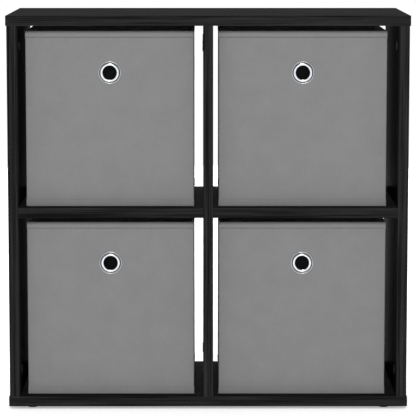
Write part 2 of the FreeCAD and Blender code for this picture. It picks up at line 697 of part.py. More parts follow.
def make_washer(name):
    ring = cylinder(name + "_disc", "{washer_diameter}", "{wall}", "{washer_thickness}")
    bore = cylinder(name + "_bore", "{washer_bore}", "{wall} - 1", "{washer_thickness} + 2")
    return cut(name, ring, bore)


def put_on_eyelet_axis(bin_, obj, label):
    """Places an eyelet piece: its +Z turns to +Y, and its zero lies on the bin's front face."""
    height = f"{bin_.z} + {{bin_height}} - {{eyelet_drop}}"
    place(obj, bin_.x, FRONT_Y, height, TOWARDS_BACK)
    keep(obj, f"{bin_.name}_bin_{label}")


def make_floor_fabric(name):
    """The floor fabric with a border turned up at the sides and the back, behind the front wall."""
    length = "{bin_width}"
    width = "({bin_depth} - {wall})"
    outside = box(name + "_outside", length, width, "{floor_border}")
    room = box(name + "_room", f"{length} - 2 * {{floor_fabric}}", f"{width} - {{floor_fabric}} + {CUT_TO_SPARE}",
               "{floor_border}", "{floor_fabric}", f"-{CUT_TO_SPARE}", "{floor_fabric}")
    return cut(name, outside, room)


def make_base_board(name):
    spare = "2 * ({wall} + {base_board_play})"
    board = plate(name, f"{{bin_width}} - {spare}", f"{{bin_depth}} - {spare}", "{base_board}")
    dress(board, "PartDesign::Fillet", "Radius", "{base_board_round}",
          lambda edge: abs(edge.Vertexes[0].Z - edge.Vertexes[-1].Z) > 0)
    return board


def make_bin(name, column, row):
    bin_ = Bin(name, column, row)
    title = name + "_bin"
    front = pocket_wall(title + "_front", "{bin_width}", "{wall}", "{bin_height}", eyelet_punch)
    bin_.put(front, "front_wall", f"-{HALF_WIDTH}", "0", "0")
    back = pocket_wall(title + "_back", "{bin_width}", "{wall}", FOLDING_HEIGHT)
    bin_.put(back, "back_wall", f"-{HALF_WIDTH}", "{bin_depth} - {wall}", "{skirt}")
    halves = (("front", "{wall} + {corner_gap}"), ("rear", "{bin_depth} / 2 + {crease_gap}"))
    for side, x in (("left", f"-{HALF_WIDTH}"), ("right", f"{HALF_WIDTH} - {{wall}}")):
        for half, y in halves:
            wall = pocket_wall(f"{title}_{side}_{half}", "{wall}", HALF_SIDE, FOLDING_HEIGHT)
            bin_.put(wall, f"{side}_{half}_wall", x, y, "{skirt}")
    bin_.put(make_floor_fabric(title + "_floor"), "floor_fabric", f"-{HALF_WIDTH}", "{wall}", "0")
    bin_.put(make_base_board(title + "_board"), "base_board", "0", "{bin_depth} / 2", "{base_board_rest}")
    put_on_eyelet_axis(bin_, make_eyelet(title + "_ring"), "eyelet")
    put_on_eyelet_axis(bin_, make_washer(title + "_ring_washer"), "eyelet_washer")


# ---- Checks and files ----


def check_document():
    """Stops on any object that failed, and on any sub-part with no valid shape."""
    for obj in doc.Objects:
        if "Invalid" in obj.State or "Error" in obj.State:
            raise RuntimeError(f"{obj.Name} failed: {obj.State}")
    for part in PARTS:
        if part.Shape.isNull() or not part.Shape.isValid() or not part.Shape.Solids:
            raise RuntimeError(f"{part.Label} has no valid shape")


def write_parts():
    os.makedirs("parts", exist_ok=True)
    for part in PARTS:
        part.Shape.exportStep(f"parts/{part.Label}.step")
        print(f"{part.Label}: {len(part.Shape.Solids)} solids, {part.Shape.Volume / 1000:.1f} cm3")


make_sheet()
make_cabinet_panels()
make_fasteners()
for bin_name, bin_column, bin_row in BINS:
    make_bin(bin_name, bin_column, bin_row)
doc.recompute()
check_document()
write_parts()
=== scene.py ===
import math
import random

import bpy
import numpy as np
from bpy.props import FloatProperty, FloatVectorProperty, PointerProperty
from bpy.types import Operator, Panel, PropertyGroup
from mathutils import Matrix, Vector


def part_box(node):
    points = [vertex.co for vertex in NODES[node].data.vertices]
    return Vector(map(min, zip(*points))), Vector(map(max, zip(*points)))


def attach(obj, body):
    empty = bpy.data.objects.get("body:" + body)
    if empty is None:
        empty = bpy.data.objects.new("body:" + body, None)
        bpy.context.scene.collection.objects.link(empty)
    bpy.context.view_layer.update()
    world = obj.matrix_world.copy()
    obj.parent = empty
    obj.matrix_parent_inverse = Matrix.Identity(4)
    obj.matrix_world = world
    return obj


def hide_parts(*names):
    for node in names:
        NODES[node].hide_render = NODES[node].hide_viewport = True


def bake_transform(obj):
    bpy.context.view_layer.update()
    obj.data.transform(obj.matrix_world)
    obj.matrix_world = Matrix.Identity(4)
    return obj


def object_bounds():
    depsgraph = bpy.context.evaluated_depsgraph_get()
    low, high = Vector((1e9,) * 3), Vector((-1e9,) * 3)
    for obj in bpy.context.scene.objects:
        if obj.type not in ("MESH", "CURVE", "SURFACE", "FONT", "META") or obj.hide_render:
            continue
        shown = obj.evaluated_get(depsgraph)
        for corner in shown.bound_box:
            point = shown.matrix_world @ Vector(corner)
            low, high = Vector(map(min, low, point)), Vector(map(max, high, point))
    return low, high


bl_info = {
    "name": "Cube Unit",
    "version": (1, 0, 0),
    "blender": (4, 5, 0),
    "location": "View3D > Sidebar > Cube Unit",
    "description": "Gives the frame of a cube storage unit its woodgrain boards and sewn fabric bins",
    "category": "Object",
}

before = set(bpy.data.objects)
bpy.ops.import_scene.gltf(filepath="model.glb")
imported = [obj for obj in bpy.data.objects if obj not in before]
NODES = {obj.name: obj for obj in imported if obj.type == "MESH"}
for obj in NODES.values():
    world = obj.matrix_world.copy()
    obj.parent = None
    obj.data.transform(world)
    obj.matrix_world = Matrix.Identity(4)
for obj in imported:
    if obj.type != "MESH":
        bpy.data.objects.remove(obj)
CAD_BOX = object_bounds()

MM = 0.001
BINS = ("upper_left", "upper_right", "lower_left", "lower_right")
LYING_BOARDS = ("top_panel", "bottom_panel", "left_shelf", "right_shelf")
STANDING_BOARDS = ("left_side_panel", "center_divider", "right_side_panel")

# Woven and sewn details of a bin, in metres.
EDGE_ROUND = 1.3 * MM  # rounding of a wall where the fabric turns over its board
HEM_RISE = {"front": 0.95 * MM, "back": 0.6 * MM, "side": 0.15 * MM, "inside": 0.3 * MM}
HEM_STEP = 0.6 * MM  # width of the hem's lower edge
SEAM_SINK = 0.95 * MM  # depth of the groove that a row of stitches pulls in
SEAM_HALF = 0.85 * MM  # half of that groove's width
FOOT_SEAM = 11.0 * MM  # height of the lower seam
FOOT_SINK = 0.12 * MM
FLARE = 0.55 * MM  # how much wider each side of a front is at its hem and foot
FLARE_REACH = 9.0 * MM
SLACK = {"front": 0.16 * MM, "back": 0.16 * MM, "side": 0.08 * MM, "inside": 0.07 * MM}
HEM_RIPPLE = 0.10 * MM  # soft puckers beside the hem
HEM_RIPPLE_REACH = 16.0 * MM
THREAD_RADIUS = 0.23 * MM
THREAD_BULGE = 0.16 * MM
CREASE_SINK = 0.75 * MM  # depth of the fold line in a side wall
CREASE_HALF = 1.3 * MM
CREASE_STITCHES = 4.2 * MM  # from the fold line to the row of stitches on each side
CREASE_ROW_SINK = 0.35 * MM
BORDER_CLEARANCE = 0.1 * MM  # between the floor fabric's border and the walls
SIDE_GAP = 0.05 * MM  # between a side wall and the front or back wall
STITCH_MARGIN = 2.5 * MM  # from a wall's edges to the ends of its rows of stitches
CREASE_ROW_GAP = 4 * MM  # from the hem and the lower seam to the rows beside the fold line
FLARE_FADE = 5 * MM  # height over which the flare fades out
TAPE_WIDTH = 9.0 * MM
TAPE_LINES = np.array([0, 0.1, 0.35, 1.0, 3, 6, 8, 8.65, 8.9, 9.0]) * MM  # grid lines across a tape
TAPE_THICKNESS = 0.7 * MM
TAPE_INSET = 0.8 * MM  # between a tape and the side wall
FLOOR_CLOTH = 0.8 * MM  # thickness of the floor fabric
BORDER_LINES = np.array([0.0, 0.5, 1.2, 2.2]) * MM  # grid lines in the floor fabric's turned-up border
BOARD_SEAM = 6 * MM  # from the base board's edge to its topstitching
BOARD_CORNER = 4 * MM  # rounding of the base board's corners
EYELET_HOLE = 16.2 * MM  # radius of the hole in the fabric, under the eyelet's bead
EYELET_SINK = {"front": 0.45 * MM, "inside": 0.1 * MM}  # how far the eyelet presses the fabric in
EYELET_REACH = 3 * MM  # how far round the eyelet the fabric is pressed in
EYELET_SEGMENTS = 96
# The groove's slot paints shade: a near-black copy of the nickel where the groove between the ring and the
# bead lies in shadow.
BRIGHT, PAINTED_SHADE, SATIN = 0, 1, 2  # an eyelet's material slots
RING_END = 14  # the last point of its ring, where the groove begins
BANDING_SHIFT = 8.3  # moves the banding's grain on from the faces' grain
PRINT_ROUGHNESS = 0.55  # of the printed grain, under the lacquer

# The stage, in metres.
FLOOR_RADIUS, FLOOR_SIDES = 3.5, 128
KEY_PLACE, KEY_SIZE = (0.0, -14.0, 9.6), (1.4, 1.2)
BACK_PLACE, BACK_SIZE, BACK_AIM = (0, 3.0, 2.6), (2.6, 1.6), (0, 0.7, 0)
FILL_SIZE, FILL_RISE = (0.2, 0.2), 0.03  # the fill light's size, and its height over the camera
CAMERA_X, AIM_X, AIM_HEIGHT = -0.005, -0.0002, 0.3251


def unit(kind):
    """The scene's own settings of one kind: boards, bins or stage."""
    return getattr(bpy.context.scene, "cube_unit_" + kind)


# ---- Gathering and making meshes ----


class Shape:
    """Vertices and faces gathered for one mesh, with a material slot for each face."""

    def __init__(self):
        self.vertices = []
        self.faces = []
        self.slots = []
        self.count = 0

    def add(self, vertices, faces, slot=0):
        self.vertices.append(np.asarray(vertices, float).reshape(-1, 3))
        self.faces += (np.asarray(faces) + self.count).tolist()
        self.slots += [slot] * len(faces)
        self.count += len(self.vertices[-1])

    def make(self, name, materials, place=None):
        """The mesh object. place turns local (across, up, out) points into the row frame."""
        points = np.concatenate(self.vertices)
        if place:
            points = place.points(points)
        mesh = bpy.data.meshes.new(name)
        mesh.from_pydata(points.tolist(), [], self.faces)
        for material in materials:
            mesh.materials.append(material)
        mesh.polygons.foreach_set("material_index", self.slots)
        mesh.polygons.foreach_set("use_smooth", [True] * len(self.faces))
        mesh.update()
        piece = bpy.data.objects.new(name, mesh)
        bpy.context.scene.collection.objects.link(piece)
        return piece


class Place:
    """A flat piece's own axes: across, up and out, from an origin in the row frame."""

    def __init__(self, origin, across, up, out):
        self.origin = np.array(origin, float)
        self.axes = np.array([across, up, out], float)

    def points(self, local):
        return self.origin + local @ self.axes


def smooth_step(low, high, value):
    """0 up to low, 1 from high on, and smooth in between."""
    share = np.clip((value - low) / (high - low), 0, 1)
    return share * share * (3 - 2 * share)


def groove(distance, half_width):
    """1 on a line, falling smoothly to 0 beside it."""
    return np.exp(-((distance / half_width) ** 2))


def uneven(seed, shortest, longest, count=7):
    """A smooth random field of two coordinates, mostly between -1 and 1."""
    rng = random.Random(seed)
    waves = [(rng.uniform(shortest, longest), rng.uniform(0, math.tau), rng.uniform(0, math.tau))
             for wave in range(count)]

    def field(across, up):
        total = 0
        for length, heading, phase in waves:
            run = across * math.cos(heading) + up * math.sin(heading)
            total = total + np.sin(math.tau * run / length + phase)
        return total / math.sqrt(count)

    return field


EDGE_LINES = np.array([0, 0.08, 0.25, 0.5, 0.85, 1.3, 2.2, 3.5, 5.5]) * MM


def grid_lines(length, coarse, *dense):
    """Grid lines from 0 to length, close together at the ends and in each dense (middle, reach, step)."""
    found = [EDGE_LINES, length - EDGE_LINES]
    free = np.arange(EDGE_LINES[-1], length - EDGE_LINES[-1], coarse)
    for middle, reach, step in dense:
        found.append(np.arange(middle - reach, middle + reach + step / 2, step))
        free = free[np.abs(free - middle) > reach]
    line = np.unique(np.concatenate(found + [free]).round(7))
    kept = [line[0]]
    for value in line[1:]:
        if value - kept[-1] > 0.06 * MM:
            kept.append(value)
    kept[-1] = length
    return np.array(kept)


def grid_quads(number):
    """The faces of a grid of numbered points."""
    corners = (number[:-1, :-1], number[1:, :-1], number[1:, 1:], number[:-1, 1:])
    return np.stack(corners, -1).reshape(-1, 4)


def slab(across, up, half_thickness, outer, inner, widen=None, hole=None):
    """A thin closed panel with rounded edges. outer and inner give each face's relief over (across, up).
    widen gives a shift along across, and hole is (across, up, radius) of a round hole through the panel."""
    u, v = np.meshgrid(across, up, indexing="ij")
    edge = np.minimum.reduce([u - across[0], across[-1] - u, v - up[0], up[-1] - v])
    fullness = np.sqrt(np.clip(1 - (1 - np.clip(edge / EDGE_ROUND, 0, 1)) ** 2, 0, 1))
    rise = [fullness * (half_thickness + relief(u, v)) for relief in (outer, inner)]
    if hole:
        du, dv = u - hole[0], v - hole[1]
        reach = np.maximum(np.hypot(du, dv), 1e-9)
        open_ = reach < hole[2]
        padded = np.pad(open_, 1)
        near = np.zeros_like(open_)
        for i in range(3):
            for j in range(3):
                near |= padded[i:i + near.shape[0], j:j + near.shape[1]]
        rim = near & ~open_
        u = np.where(rim, hole[0] + du * hole[2] / reach, u)
        v = np.where(rim, hole[1] + dv * hole[2] / reach, v)
    shifted = u + widen(u, v) if widen else u
    front = np.stack([shifted, v, rise[0]], -1).reshape(-1, 3)
    back = np.stack([shifted, v, -rise[1]], -1).reshape(-1, 3)
    number = np.arange(u.size).reshape(u.shape)
    inside = np.zeros(u.shape, bool)
    inside[1:-1, 1:-1] = True
    behind = number.copy()
    behind[inside] = u.size + np.arange(inside.sum())
    quads = grid_quads(number)
    if hole:
        quads = quads[~open_.reshape(-1)[quads].any(1)]
    far = behind.reshape(-1)
    faces = np.concatenate([quads, far[quads][:, ::-1]])
    if hole:
        faces = np.concatenate([faces, tunnel(quads, far)])
    return np.concatenate([front, back[inside.reshape(-1)]]), faces


def tunnel(quads, far):
    """The faces round a hole: from its edge on the front quads to the same edge behind."""
    edges = np.concatenate([quads[:, [0, 1]], quads[:, [1, 2]], quads[:, [2, 3]], quads[:, [3, 0]]])
    keys = np.sort(edges, 1)
    order = {}
    for index, key in enumerate(map(tuple, keys.tolist())):
        order.setdefault(key, []).append(index)
    loose = edges[[found[0] for found in order.values() if len(found) == 1]]
    loose = loose[far[loose[:, 0]] != loose[:, 0]]
    loose = loose[far[loose[:, 1]] != loose[:, 1]]
    return np.stack([loose[:, 1], loose[:, 0], far[loose[:, 0]], far[loose[:, 1]]], 1)


STITCH_STATIONS = np.array([-1.0, -0.72, 0.0, 0.72, 1.0])
STITCH_GIRTH = np.array([0.30, 0.85, 1.0, 0.85, 0.30])
STITCH_SIDES = 6
THREAD_SLOT = 1  # thread's material slot on a sewn piece


def stitches(shape, start, end, height, side):
    """A row of sewing stitches from start to end (across, up). height gives the face's level there, and
    side is 1 on the outer face and -1 on the inner."""
    start, end = np.array(start, float), np.array(end, float)
    run = np.linalg.norm(end - start)
    bins = unit("bins")
    count = max(2, int(run / bins.stitch_pitch))
    spots = start + (end - start) * ((np.arange(count) + 0.5) / count)[:, None]
    along = np.append((end - start) / run, 0)
    sideways = np.cross([0, 0, 1], along)
    level = side * height(spots[:, 0], spots[:, 1])
    centres = np.column_stack([spots, level])
    angle = math.tau * np.arange(STITCH_SIDES) / STITCH_SIDES
    ring = np.outer(np.cos(angle), sideways) + np.outer(np.sin(angle), [0, 0, 1])
    body = [along * station * bins.stitch_length / 2 + ring * girth * THREAD_RADIUS
            + np.array([0, 0, side * THREAD_BULGE * (1 - station * station)])
            for station, girth in zip(STITCH_STATIONS, STITCH_GIRTH)]
    template = np.concatenate(body)
    points = (centres[:, None, :] + template[None]).reshape(-1, 3)
    quads = []
    for station in range(len(STITCH_STATIONS) - 1):
        for corner in range(STITCH_SIDES):
            a = station * STITCH_SIDES + corner
            b = station * STITCH_SIDES + (corner + 1) % STITCH_SIDES
            quads.append((a, b, b + STITCH_SIDES, a + STITCH_SIDES))
    quads = np.array(quads)[:, ::-1]
    last = (len(STITCH_STATIONS) - 1) * STITCH_SIDES
    caps = [(0, 1, 2, 3), (0, 3, 4, 5),
            (last + 3, last + 2, last + 1, last), (last + 5, last + 4, last + 3, last)]
    quads = np.concatenate([quads, np.array(caps)])
    faces = (quads[None] + (np.arange(count) * len(template))[:, None, None]).reshape(-1, 4)
    shape.add(points, faces, THREAD_SLOT)


def lathe(shape, profile, segments, slots=None):
    """Turns a closed profile of (radius, out) points about the out axis. slots gives the material slot
    of the face that follows each point."""
    profile = np.array(profile)
    slots = slots or [0] * len(profile)
    angle = math.tau * np.arange(segments) / segments
    points = np.stack([np.outer(np.cos(angle), profile[:, 0]), np.outer(np.sin(angle), profile[:, 0]),
                       np.broadcast_to(profile[:, 1], (segments, len(profile)))], -1).reshape(-1, 3)
    size = len(profile)
    faces = []
    for turn in range(segments):
        for point in range(size):
            a, b = turn * size + point, turn * size + (point + 1) % size
            c, d = (turn + 1) % segments * size + (point + 1) % size, (turn + 1) % segments * size + point
            faces.append((a, b, c, d))
    shape.add(points, faces)
    shape.slots[-len(faces):] = slots * segments


def arc(centre, radius, start, end, count):
    """Points on an arc of a profile, with angles in degrees from the radius axis."""
    angles = np.radians(np.linspace(start, end, count))
    return [(centre[0] + radius * math.cos(a), centre[1] + radius * math.sin(a)) for a in angles]


# ---- Materials ----


def times(color, factor):
    return tuple(c * factor for c in color)


class Tree:
    """A new material and the short calls that wire its nodes."""

    def __init__(self, name):
        self.material = bpy.data.materials.new(name)
        self.material.use_nodes = True
        self.nodes = self.material.node_tree.nodes
        self.links = self.material.node_tree.links
        self.shader = self.nodes["Principled BSDF"]
        self.coordinates = self.nodes.new("ShaderNodeTexCoord").outputs["Object"]

    def link(self, source, node, socket):
        self.links.new(source, node.inputs[socket])

    def scaled(self, scale=(1, 1, 1), source=None, shift=0.0):
        node = self.nodes.new("ShaderNodeMapping")
        node.inputs["Scale"].default_value = scale
        node.inputs["Location"].default_value = (0, 0, shift)
        self.link(source or self.coordinates, node, "Vector")
        return node.outputs["Vector"]

    def noise(self, vector, scale, detail=3.0, roughness=0.55, distortion=0.0):
        node = self.nodes.new("ShaderNodeTexNoise")
        node.inputs["Scale"].default_value = scale
        node.inputs["Detail"].default_value = detail
        node.inputs["Roughness"].default_value = roughness
        node.inputs["Distortion"].default_value = distortion
        self.link(vector, node, "Vector")
        return node.outputs["Fac"]

    def span(self, source, low, high, to_low=0.0, to_high=1.0):
        node = self.nodes.new("ShaderNodeMapRange")
        for socket, value in zip(("From Min", "From Max", "To Min", "To Max"), (low, high, to_low, to_high)):
            node.inputs[socket].default_value = value
        self.link(source, node, "Value")
        return node.outputs["Result"]

    def math(self, operation, first, second=None, third=None):
        node = self.nodes.new("ShaderNodeMath")
        node.operation = operation
        for index, value in enumerate((first, second, third)):
            if isinstance(value, (int, float)):
                node.inputs[index].default_value = value
            elif value is not None:
                self.links.new(value, node.inputs[index])
        return node.outputs[0]

    def blend(self, share, first, second):
        """A colour between two, each a colour or a socket."""
        node = self.nodes.new("ShaderNodeMix")
        node.data_type = "RGBA"
        sockets = [s for s in node.inputs if s.type == "RGBA"]
        for socket, value in zip(sockets, (first, second)):
            if isinstance(value, bpy.types.NodeSocket):
                self.links.new(value, socket)
            else:
                socket.default_value = (*value, 1)
        self.links.new(share, node.inputs[0])
        return [s for s in node.outputs if s.type == "RGBA"][0]

    def bump(self, height, distance, strength):
        node = self.nodes.new("ShaderNodeBump")
        node.inputs["Strength"].default_value = strength
        node.inputs["Distance"].default_value = distance
        self.link(height, node, "Height")
        return node.outputs["Normal"]

    def finish(self, color=None, roughness=None, normal=None, **fixed):
        for socket, value in (("Base Color", color), ("Roughness", roughness), ("Normal", normal)):
            if value is not None:
                self.link(value, self.shader, socket)
        for name, value in fixed.items():
            self.shader.inputs[name.replace("_", " ")].default_value = value
        return self.material


def along_grain(tree, axis, ends_turn):
    """Coordinates with the grain along their X: axis is the grain's, and ends_turn lays it along Y on
    faces that look along X."""
    split = tree.nodes.new("ShaderNodeSeparateXYZ")
    tree.link(tree.coordinates, split, "Vector")
    x, y, z = split.outputs
    join = tree.nodes.new("ShaderNodeCombineXYZ")
    for socket, source in zip(join.inputs, {"X": (x, y, z), "Z": (z, x, y)}[axis]):
        tree.links.new(source, socket)
    if not ends_turn:
        return join.outputs["Vector"]
    turned = tree.nodes.new("ShaderNodeCombineXYZ")
    for socket, source in zip(turned.inputs, (y, x, z)):
        tree.links.new(source, socket)
    normal = tree.nodes.new("ShaderNodeSeparateXYZ")
    tree.link(tree.nodes.new("ShaderNodeNewGeometry").outputs["Normal"], normal, "Vector")
    share = tree.math("GREATER_THAN", tree.math("ABSOLUTE", normal.outputs["X"]), 0.7)
    choose = tree.nodes.new("ShaderNodeMix")
    choose.data_type = "VECTOR"
    ends = {s.name: s for s in choose.inputs if s.type == "VECTOR"}
    tree.links.new(join.outputs["Vector"], ends["A"])
    tree.links.new(turned.outputs["Vector"], ends["B"])
    tree.links.new(share, choose.inputs[0])
    return [s for s in choose.outputs if s.type == "VECTOR"][0]


def black_woodgrain(name, axis, banding=False):
    """Black laminate printed and embossed with wavy grain and open pores: a matt print under a thin
    satin lacquer. The banding on the edges has closer streaks than the faces."""
    look = unit("boards")
    tree = Tree(name)
    grain = along_grain(tree, axis, banding)
    shift, fine = (BANDING_SHIFT, 600.0) if banding else (0.0, 270.0)
    bands = tree.noise(tree.scaled((2.2, 60.0, 60.0), grain, shift), 1.0, detail=3.0, distortion=0.5)
    streaks = tree.noise(tree.scaled((6.0, fine, fine), grain, shift), 1.0, detail=3.0, roughness=0.6,
                         distortion=0.4)
    flames = tree.nodes.new("ShaderNodeTexWave")
    flames.bands_direction = "Y"
    for socket, value in (("Scale", 1.0), ("Distortion", 9.0), ("Detail", 2.5), ("Detail Scale", 0.9)):
        flames.inputs[socket].default_value = value
    tree.link(tree.scaled((1.4, 42.0, 42.0), grain, shift), flames, "Vector")
    pores = tree.noise(tree.scaled((26.0, 1350.0, 1350.0), grain), 1.0, detail=2.0)
    tone = tree.math("MULTIPLY_ADD", tree.span(streaks, 0.38, 0.62), 0.55,
                     tree.math("MULTIPLY_ADD", flames.outputs["Fac"], 0.25,
                               tree.math("MULTIPLY", tree.span(bands, 0.35, 0.65), 0.2)))
    tone = tree.span(tone, 0.22, 0.82)
    open_pores = tree.span(pores, 0.60, 0.72)
    shade = tree.blend(tone, look.grain_dark, look.grain_light)
    shade = tree.blend(tree.math("MULTIPLY", open_pores, 0.5), shade, (0.003, 0.003, 0.003))
    gloss = tree.math("MULTIPLY_ADD", tone, -0.08,
                      tree.math("MULTIPLY_ADD", open_pores, 0.16, PRINT_ROUGHNESS))
    relief = tree.math("SUBTRACT", tree.math("MULTIPLY", tone, 0.5), open_pores)
    normal = tree.bump(relief, 0.06 * MM, 0.5)
    tree.link(normal, tree.shader, "Coat Normal")
    lacquer = look.lacquer_standing if axis == "Z" else look.lacquer_lying
    return tree.finish(shade, gloss, normal, Specular_IOR_Level=0.0, Coat_Weight=lacquer,
                       Coat_Roughness=look.lacquer_roughness)


def fabric_material(name, axes, color, seed):
    """Spun non-woven fabric: a dimpled bond pattern, matted fibres and slight clouding.
    axes are the two coordinates that the pattern lies along."""
    tree = Tree(name)
    split = tree.nodes.new("ShaderNodeSeparateXYZ")
    tree.link(tree.coordinates, split, "Vector")
    sockets = dict(zip("XYZ", split.outputs))
    if axes == "upright":
        first, second = tree.math("ADD", sockets["X"], sockets["Y"]), sockets["Z"]
    else:
        first, second = sockets["X"], sockets["Y"]
    wave = math.tau / (1.9 * MM)
    bonds = None
    for combine in ("ADD", "SUBTRACT"):
        run = tree.math("MULTIPLY", tree.math(combine, first, second), wave)
        line = tree.math("SINE", run)
        bonds = line if bonds is None else tree.math("MULTIPLY", bonds, line)
    dimples = tree.span(bonds, 0.15, 0.75)
    clouds = tree.noise(tree.scaled(), 34.0 + seed, detail=4.0, roughness=0.6)
    mat = tree.noise(tree.scaled(), 620.0, detail=3.0, roughness=0.7)
    fibres = tree.noise(tree.scaled(), 2400.0, detail=2.0, roughness=0.7, distortion=0.8)
    dark = times(color, 0.90)
    light = tuple(min(1, c * 1.08) for c in color)
    tone = tree.math("MULTIPLY_ADD", tree.span(clouds, 0.3, 0.7), 0.42,
                     tree.math("MULTIPLY", tree.span(mat, 0.3, 0.7), 0.58))
    shade = tree.blend(tone, dark, light)
    shade = tree.blend(tree.math("MULTIPLY", dimples, 0.16), shade, times(color, 0.72))
    gloss = tree.span(mat, 0.3, 0.7, 0.86, 0.97)
    relief = tree.math("MULTIPLY_ADD", fibres, 0.35, tree.math("MULTIPLY", dimples, -0.6))
    normal = tree.bump(relief, 0.09 * MM, 0.55)
    return tree.finish(shade, gloss, normal, Specular_IOR_Level=0.22, Sheen_Weight=0.12, Sheen_Roughness=0.5)


def thread_material(name, color):
    """Twisted polyester sewing thread."""
    tree = Tree(name)
    twist = tree.nodes.new("ShaderNodeTexWave")
    twist.inputs["Scale"].default_value = 900.0
    twist.inputs["Distortion"].default_value = 1.5
    tree.link(tree.coordinates, twist, "Vector")
    shade = tree.blend(twist.outputs["Fac"], times(color, 0.78), times(color, 1.05))
    normal = tree.bump(twist.outputs["Fac"], 0.05 * MM, 0.5)
    return tree.finish(shade, None, normal, Roughness=0.62, Specular_IOR_Level=0.3)


def metal_material(name, color, roughness, scratch_scale):
    """Plated metal with fine polishing marks and faint staining."""
    tree = Tree(name)
    marks = tree.noise(tree.scaled(), scratch_scale, detail=5.0, roughness=0.7, distortion=1.2)
    stains = tree.noise(tree.scaled(), 160.0, detail=3.0)
    shade = tree.blend(tree.span(stains, 0.3, 0.75), color, times(color, 0.90))
    gloss = tree.span(marks, 0.3, 0.75, roughness * 0.7, roughness * 1.5)
    normal = tree.bump(marks, 0.01 * MM, 0.25)
    return tree.finish(shade, gloss, normal, Metallic=1.0)


def plastic_material(name, color, roughness):
    """Moulded plastic with a fine spark-eroded texture."""
    tree = Tree(name)
    texture = tree.noise(tree.scaled(), 2600.0, detail=3.0)
    flow = tree.noise(tree.scaled(), 120.0, detail=2.0)
    shade = tree.blend(tree.span(flow, 0.3, 0.7), color, times(color, 1.35))
    gloss = tree.span(texture, 0.3, 0.7, roughness * 0.85, roughness * 1.15)
    return tree.finish(shade, gloss, tree.bump(texture, 0.03 * MM, 0.4), Specular_IOR_Level=0.4)


def beech_material(name):
    """Bare beech, for the dowels."""
    tree = Tree(name)
    rays = tree.noise(tree.scaled((260, 260, 900)), 1.0, detail=4.0)
    shade = tree.blend(tree.span(rays, 0.3, 0.7), (0.42, 0.27, 0.14), (0.60, 0.44, 0.27))
    return tree.finish(shade, tree.span(rays, 0.3, 0.7, 0.6, 0.8), tree.bump(rays, 0.05 * MM, 0.4))


def give(material, *names):
    """Puts a material on CAD nodes that are shown as they are."""
    for name in names:
        for slot in NODES[name].material_slots:
            slot.material = material


# ---- Bin pieces ----


class BinFrame:
    """Where one bin's parts lie, from its CAD nodes."""

    def __init__(self, name):
        self.body = name + "_bin"
        self.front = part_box(self.node("front_wall"))
        self.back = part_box(self.node("back_wall"))
        self.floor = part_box(self.node("floor_fabric"))
        self.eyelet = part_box(self.node("eyelet"))
        self.thickness = self.front[1].y - self.front[0].y
        self.width = self.front[1].x - self.front[0].x
        self.height = self.front[1].z - self.front[0].z
        self.middle = (self.front[0].x + self.front[1].x) / 2
        self.foot = self.front[0].z
        self.skirt = self.floor[1].z + BORDER_CLEARANCE

    def node(self, part):
        return f"{self.body}_{part}"

    def piece(self, part, work="sewn"):
        return f"{self.body}_{part}_{work}"


def wall_relief(height, field, face, crease=None, eyelet=None):
    """The relief of a wall's face over (across, up): hem, seams, slack, and the fold line or eyelet.
    face is where the face looks, which sets how far its hem stands out."""
    hem = height - unit("bins").hem_height

    def relief(across, up):
        rise = HEM_RISE[face] * smooth_step(hem, hem + HEM_STEP, up)
        rise = rise - SEAM_SINK * groove(up - hem, SEAM_HALF)
        rise = rise - FOOT_SINK * groove(up - FOOT_SEAM, SEAM_HALF)
        below_hem = np.exp(-np.abs(hem - up) / HEM_RIPPLE_REACH)
        rise = rise + HEM_RIPPLE * below_hem * field(across * 2.4, up * 0.25)
        rise = rise + SLACK[face] * field(across, up) * (1 - below_hem)
        if crease is not None:
            rise = rise - CREASE_SINK * groove(across - crease, CREASE_HALF)
            rise = rise - CREASE_ROW_SINK * groove(np.abs(across - crease) - CREASE_STITCHES, SEAM_HALF)
        if eyelet:
            reach = np.hypot(across - eyelet[0], up - eyelet[1])
            rise = rise - EYELET_SINK[face] * groove(np.maximum(reach - eyelet[2], 0), EYELET_REACH)
        return rise

    return relief


def dense_rows(height):
    """Grid lines that the hem and the lower seam need, for the up direction."""
    hem = height - unit("bins").hem_height
    return (hem, 2.2 * MM, 0.28 * MM), (FOOT_SEAM, 2.0 * MM, 0.5 * MM)


def sew_rows(shape, width, height, outer, inner, half, crease=None):
    """Rows of stitches on both faces: hem, lower seam and beside the fold line."""
    hem = height - unit("bins").hem_height
    for side, relief in ((1, outer), (-1, inner)):
        def level(across, up, relief=relief):
            return half + relief(across, up) - 0.06 * MM

        for up in (hem, FOOT_SEAM):
            stitches(shape, (STITCH_MARGIN, up), (width - STITCH_MARGIN, up), level, side)
        if crease is not None:
            for across in (crease - CREASE_STITCHES, crease + CREASE_STITCHES):
                stitches(shape, (across, FOOT_SEAM + CREASE_ROW_GAP), (across, hem - CREASE_ROW_GAP),
                         level, side)


def flared(width, height):
    """A front or back wall widens a little at its hem and foot."""
    def widen(across, up):
        amount = FLARE * (smooth_step(height - FLARE_REACH - FLARE_FADE, height - FLARE_REACH, up)
                          + 1 - smooth_step(FLARE_REACH, FLARE_REACH + FLARE_FADE, up))
        side = (across - width / 2) / (width / 2)
        return amount * side * np.abs(side) ** 3

    return widen


